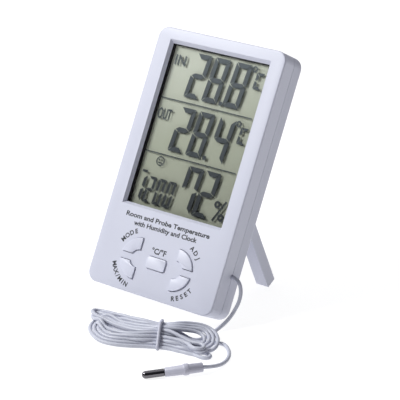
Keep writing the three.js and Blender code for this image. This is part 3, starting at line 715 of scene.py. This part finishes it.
def temperature_row(low, high, figures):
    """Three large figures with a decimal mark, and the degree sign with its C."""
    shapes = []
    for character, (low_x, high_x) in zip(figures, ROW_DIGITS_X):
        shapes += digit(character, low_x, high_x, low, high, BIG_BAR)
    shapes.append(block(DECIMAL_X, low - DECIMAL_SINK, *DECIMAL_SIZE))
    shapes += ring_parts(DEGREE_X, high - DEGREE_DROP, *DEGREE_RADII)
    c_low, c_high = low + C_RISE, high - C_DROP
    c_shapes = segment_shapes(C_WIDE, c_high - c_low, C_BAR)
    shapes += [[(C_X + x + z * SLANT, c_low + z) for x, z in c_shapes[part]] for part in "afed"]
    return shapes


def percent_sign():
    shapes = []
    for x, z in PERCENT_RINGS:
        shapes += ring_parts(x, z, *PERCENT_RADII)
    return shapes + [line_part(*PERCENT_BAR)]


def comfort_face():
    """A plain ring with two dots and a bar."""
    x, z = FACE_AT
    eyes = [disc(x + side, z + EYE_RISE, EYE_R, EYE_SIDES) for side in (-1, 1)]
    mouth = line_part((x - MOUTH_HALF, z - 1), (x + MOUTH_HALF, z - 1), MOUTH_THICK)
    return ring_parts(x, z, *FACE_RADII) + eyes + [mouth]


def display_shapes():
    shapes = []
    for (low, high), figures in zip(ROWS_Z, ROW_DIGITS):
        shapes += temperature_row(low, high, figures)
    for character, low_x, high_x in HUMIDITY_DIGITS:
        shapes += digit(character, low_x, high_x, LOW_ROW_Z, HUMIDITY_TOP, BIG_BAR)
    shapes += digit(*CLOCK_FIRST, LOW_ROW_Z, CLOCK_TOP, CLOCK_FIRST_BAR)
    for character, low_x in CLOCK_DIGITS:
        shapes += digit(character, low_x, low_x + CLOCK_WIDE, LOW_ROW_Z, CLOCK_TOP, CLOCK_BAR)
    shapes += percent_sign()
    shapes += [block(RULE_FROM, z, *RULE_SIZE) for z in RULES_Z]
    shapes.append(block(*CLOCK_MARK))
    return shapes + comfort_face()


def add_sheet_piece(name, shapes, depth, material, shift=(0, 0)):
    """Thin printed or liquid-crystal shapes, or their painted shadows, as one mesh, in a plane at depth behind the
    case's front.
    """
    work = bmesh.new()
    for shape in shapes:
        corners = [
            work.verts.new(CASE @ (Vector((x + shift[0], depth, z + shift[1])) * MM)) for x, z in shape
        ]
        work.faces.new(corners)
    made = bmesh.ops.extrude_face_region(work, geom=work.faces[:])
    raised = [v for v in made["geom"] if isinstance(v, bmesh.types.BMVert)]
    bmesh.ops.translate(work, verts=raised, vec=-INWARD * SHEET_THICK * MM)
    bmesh.ops.recalc_face_normals(work, faces=work.faces)
    mesh = bpy.data.meshes.new(name)
    work.to_mesh(mesh)
    work.free()
    return add_mesh_piece(name, mesh, material)


def add_mesh_piece(name, mesh, material, body="case"):
    mesh.materials.append(material)
    piece = bpy.data.objects.new(name, mesh)
    bpy.context.scene.collection.objects.link(piece)
    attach(piece, body)
    return piece


# A darker copy of the segments, set a little aside on the reflector, is their painted shadow.
SHADOW_SHIFT = (-0.55, -0.3)
add_sheet_piece("lcd_segments", display_shapes(), LCD_SHEET_Y, segment_ink)
add_sheet_piece(
    "lcd_segment_shadows", display_shapes(), SHADOW_SHEET_Y, segment_shadow, SHADOW_SHIFT,
)


# ---------------------------------------------------------------- lettering: plain function words and units
CAP_SHARE = 0.69


def glyph_mesh(text, cap_height, bold):
    """Flat letters lying in XY with their baseline on X, centred, in millimetres."""
    curve = bpy.data.curves.new("letters", "FONT")
    curve.body = text
    curve.size = cap_height / CAP_SHARE
    curve.align_x = "CENTER"
    curve.offset = bold
    curve.resolution_u = 4
    piece = bpy.data.objects.new("letters", curve)
    bpy.context.scene.collection.objects.link(piece)
    bpy.context.view_layer.update()
    mesh = bpy.data.meshes.new_from_object(piece)
    bpy.data.objects.remove(piece)
    return mesh


def fitted(text, cap_height, length, bold):
    mesh = glyph_mesh(text, cap_height, bold)
    xs = [v.co.x for v in mesh.vertices]
    stretch = length / (max(xs) - min(xs))
    middle = (max(xs) + min(xs)) / 2
    mesh.transform(Matrix.Diagonal((stretch, 1, 1, 1)) @ Matrix.Translation((-middle, 0, 0)))
    return mesh


def arc_letters(word, center, radius, start, end, cap_height, bold, inside=False):
    """Letters round an arc; their tops point away from the centre, or towards it where inside is set."""
    parts = []
    for index, letter in enumerate(word):
        angle = math.radians(start + (end - start) * index / (len(word) - 1))
        mesh = glyph_mesh(letter, cap_height, bold)
        facing = angle + math.pi / 2 if inside else angle - math.pi / 2
        base = radius + cap_height / 2 if inside else radius - cap_height / 2
        spot = (center[0] + base * math.cos(angle), center[1] + base * math.sin(angle), 0)
        mesh.transform(Matrix.Translation(spot) @ Matrix.Rotation(facing, 4, "Z"))
        parts.append(mesh)
    return parts


def add_lettering(name, parts, depth, material):
    work = bmesh.new()
    for mesh in parts:
        work.from_mesh(mesh)
        bpy.data.meshes.remove(mesh)
    upright = Matrix.Rotation(math.pi / 2, 4, "X")
    work.transform(CASE @ Matrix.Scale(MM, 4) @ Matrix.Translation((0, depth, 0)) @ upright)
    mesh = bpy.data.meshes.new(name)
    work.to_mesh(mesh)
    work.free()
    return add_mesh_piece(name, mesh, material)


def moved(mesh, x, z):
    mesh.transform(Matrix.Translation((x, z, 0)))
    return mesh


PRINT_Y = -0.03
KEY_RING = 16.3
LEFT_KEYS = (-13, 19.9)
RIGHT_KEYS = (13, 19.9)
CAPS = 2.6
UNIT_CAPS = 3.1
BOLD = 0.12
UNIT_BOLD = 0.13
LCD_BOLD = 0.08
add_lettering("face_lettering", [
    moved(fitted("Room and Probe Temperature", CAPS, 59.4, BOLD), -0.3, 42.2),
    moved(fitted("with Humidity and Clock", CAPS, 45, BOLD), -0.5, 38),
    moved(fitted("°C/°F", UNIT_CAPS, 10.2, UNIT_BOLD), -0.5, 25.4),
    *arc_letters("MODE", LEFT_KEYS, KEY_RING, 148, 114, CAPS, BOLD),
    *arc_letters("ADJ", RIGHT_KEYS, KEY_RING, 62, 37, CAPS, BOLD),
    *arc_letters("MAX/MIN", LEFT_KEYS, KEY_RING, 203, 257, CAPS, BOLD, inside=True),
    *arc_letters("RESET", RIGHT_KEYS, KEY_RING, -75, -33, CAPS, BOLD, inside=True),
], PRINT_Y, print_ink)
lcd_words = [("IN", 7.4, -26.7, 134.0, 5.8), ("OUT", 9.4, -26.8, 101.4, 6.2)]
# Each word is laid twice: in ink, and as its painted shadow on the reflector.
for depth, material, slot, name, shift in (
    (LCD_SHEET_Y - SHEET_THICK, segment_ink, "black_plastic", "lcd_words", (0, 0)),
    (SHADOW_SHEET_Y - SHEET_THICK, segment_shadow, "lcd_reflector", "lcd_word_shadows", SHADOW_SHIFT),
):
    add_lettering(name, [
        moved(fitted(word, tall, wide, LCD_BOLD), x + shift[0], z + shift[1])
        for word, wide, x, z, tall in lcd_words
    ], depth, material)


# ---------------------------------------------------------------- floor, light and background
TABLE_GLOW = 0.87
TABLE_HALF = 20
PAPER_SCALE = 40
STUDIO_STRENGTH = 0.9
SOFT_LIGHT_FROM = Vector((-0.62, 0.3, 0.72)).normalized()
KEY_AT = (-1.4, -1.2, 1.8)
KEY_AIM = (0, 0, 0.05)
KEY_SIZE = 0.9
KEY_WATTS = 54
KEY_COLOR = (0.99, 1, 0.98)


def add_floor():
    """A wide sheet of paper that glows like a light table."""
    work = bmesh.new()
    bmesh.ops.create_grid(work, x_segments=1, y_segments=1, size=TABLE_HALF)
    mesh = bpy.data.meshes.new("floor")
    work.to_mesh(mesh)
    work.free()
    material, tree, shader = new_material("floor_paper", (0.3, 0.3, 0.302), 0.9, Specular_IOR_Level=0.0)
    paper = noise(tree, place_vector(tree), PAPER_SCALE)
    tint = drift(tree, paper, (0.295, 0.295, 0.298), (0.305, 0.305, 0.307))
    tree.links.new(tint, shader.inputs["Base Color"])
    shader.inputs["Emission Color"].default_value = (1, 1, 1, 1)
    shader.inputs["Emission Strength"].default_value = TABLE_GLOW
    mesh.materials.append(material)
    floor = bpy.data.objects.new("floor", mesh)
    bpy.context.scene.collection.objects.link(floor)


def add_area_light(name, spot, aim, size, power, color):
    data = bpy.data.lights.new(name, "AREA")
    data.shape = "DISK"
    data.size = size
    data.energy = power
    data.color = color
    light = bpy.data.objects.new(name, data)
    bpy.context.scene.collection.objects.link(light)
    light.location = spot
    light.rotation_euler = (Vector(aim) - Vector(spot)).to_track_quat("-Z", "Y").to_euler()


def add_background():
    """A dark studio with one large soft light high on the left, behind the object."""
    world = bpy.data.worlds.new("studio")
    world.use_nodes = True
    tree = world.node_tree
    place = tree.nodes.new("ShaderNodeTexCoord")
    toward = tree.nodes.new("ShaderNodeVectorMath")
    toward.operation = "DOT_PRODUCT"
    toward.inputs[1].default_value = SOFT_LIGHT_FROM
    tree.links.new(place.outputs["Generated"], toward.inputs[0])
    stops = [
        (0.0, (0.06, 0.06, 0.07)), (0.45, (0.09, 0.09, 0.1)), (0.62, (0.8, 0.81, 0.85)), (0.9, (1, 1, 1)),
    ]
    tree.links.new(ramp(tree, toward.outputs["Value"], stops), tree.nodes["Background"].inputs["Color"])
    tree.nodes["Background"].inputs["Strength"].default_value = STUDIO_STRENGTH
    bpy.context.scene.world = world


add_floor()
add_background()
add_area_light("key", KEY_AT, KEY_AIM, KEY_SIZE, KEY_WATTS, KEY_COLOR)
bpy.context.scene.view_settings.view_transform = "Standard"
bpy.context.scene.view_settings.look = "None"
